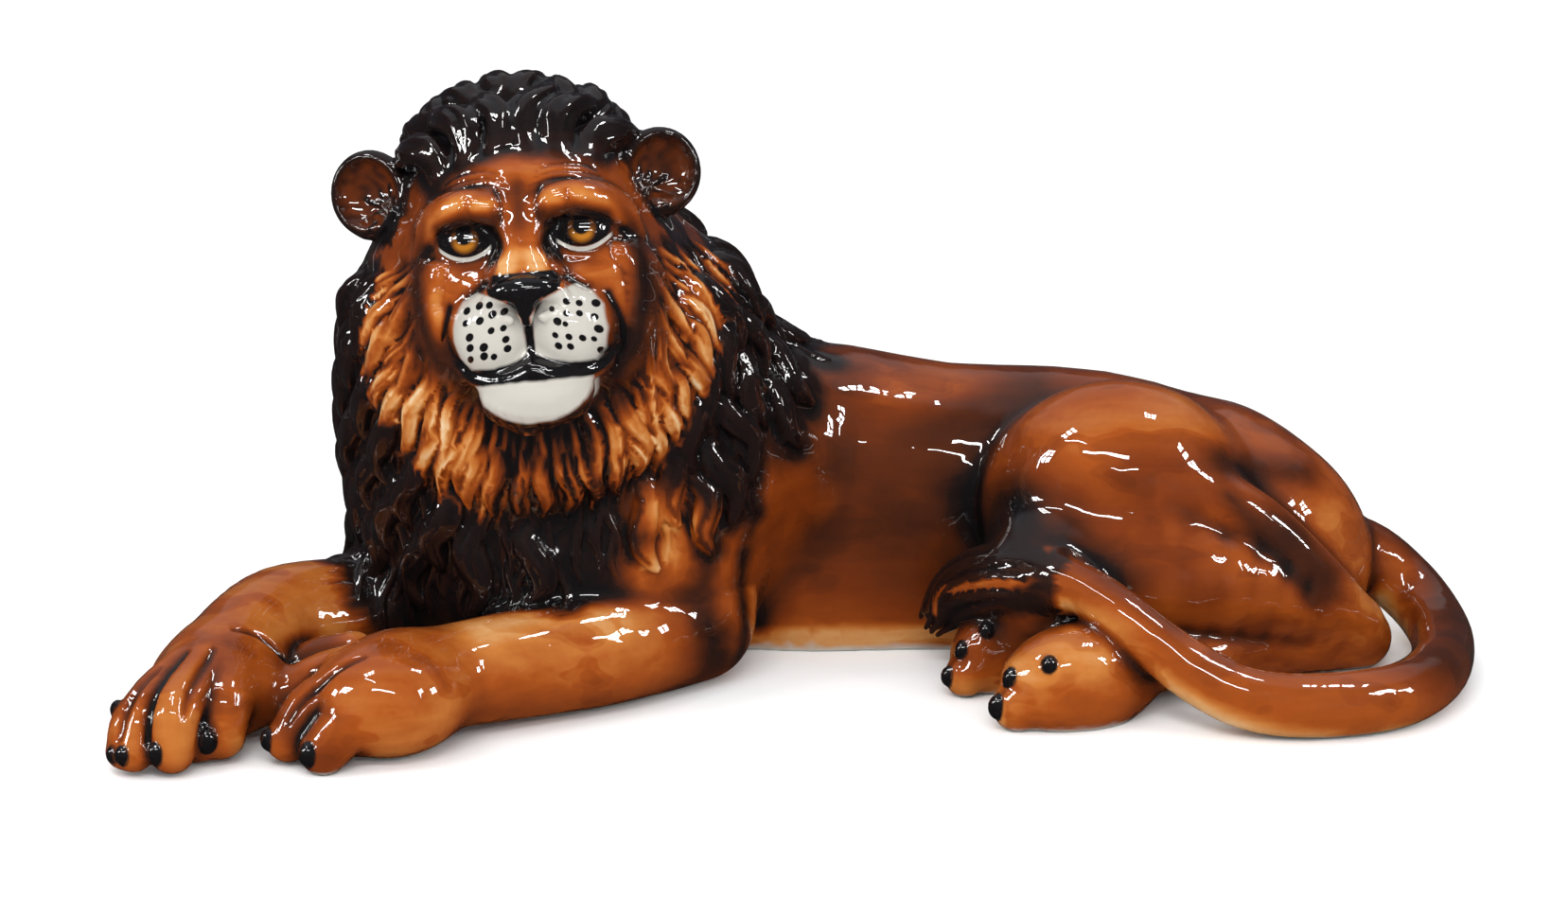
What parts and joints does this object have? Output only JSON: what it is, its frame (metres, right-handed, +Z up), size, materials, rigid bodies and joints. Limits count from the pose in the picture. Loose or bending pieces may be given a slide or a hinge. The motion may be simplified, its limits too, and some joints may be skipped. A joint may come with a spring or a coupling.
{
  "type": "ceramic lion sculpture",
  "caption": "Glazed ceramic figure of a reclining male lion with raised head, full dark mane, forepaws stretched forward and a tail that loops along the floor.",
  "frame": {"origin": "the point of the floor under the middle of the figure's box", "axes": "+X along the body from the forepaws to the tail, +Z up, and the lion looks along -Y"},
  "size_m": [0.7476, 0.3252, 0.3481],
  "materials": {
    "glaze": "airbrushed amber, chestnut and near-black underglaze under a clear high-gloss glaze"
  },
  "bodies": {
    "root": {"lion": "glaze"}
  },
  "joints": []
}
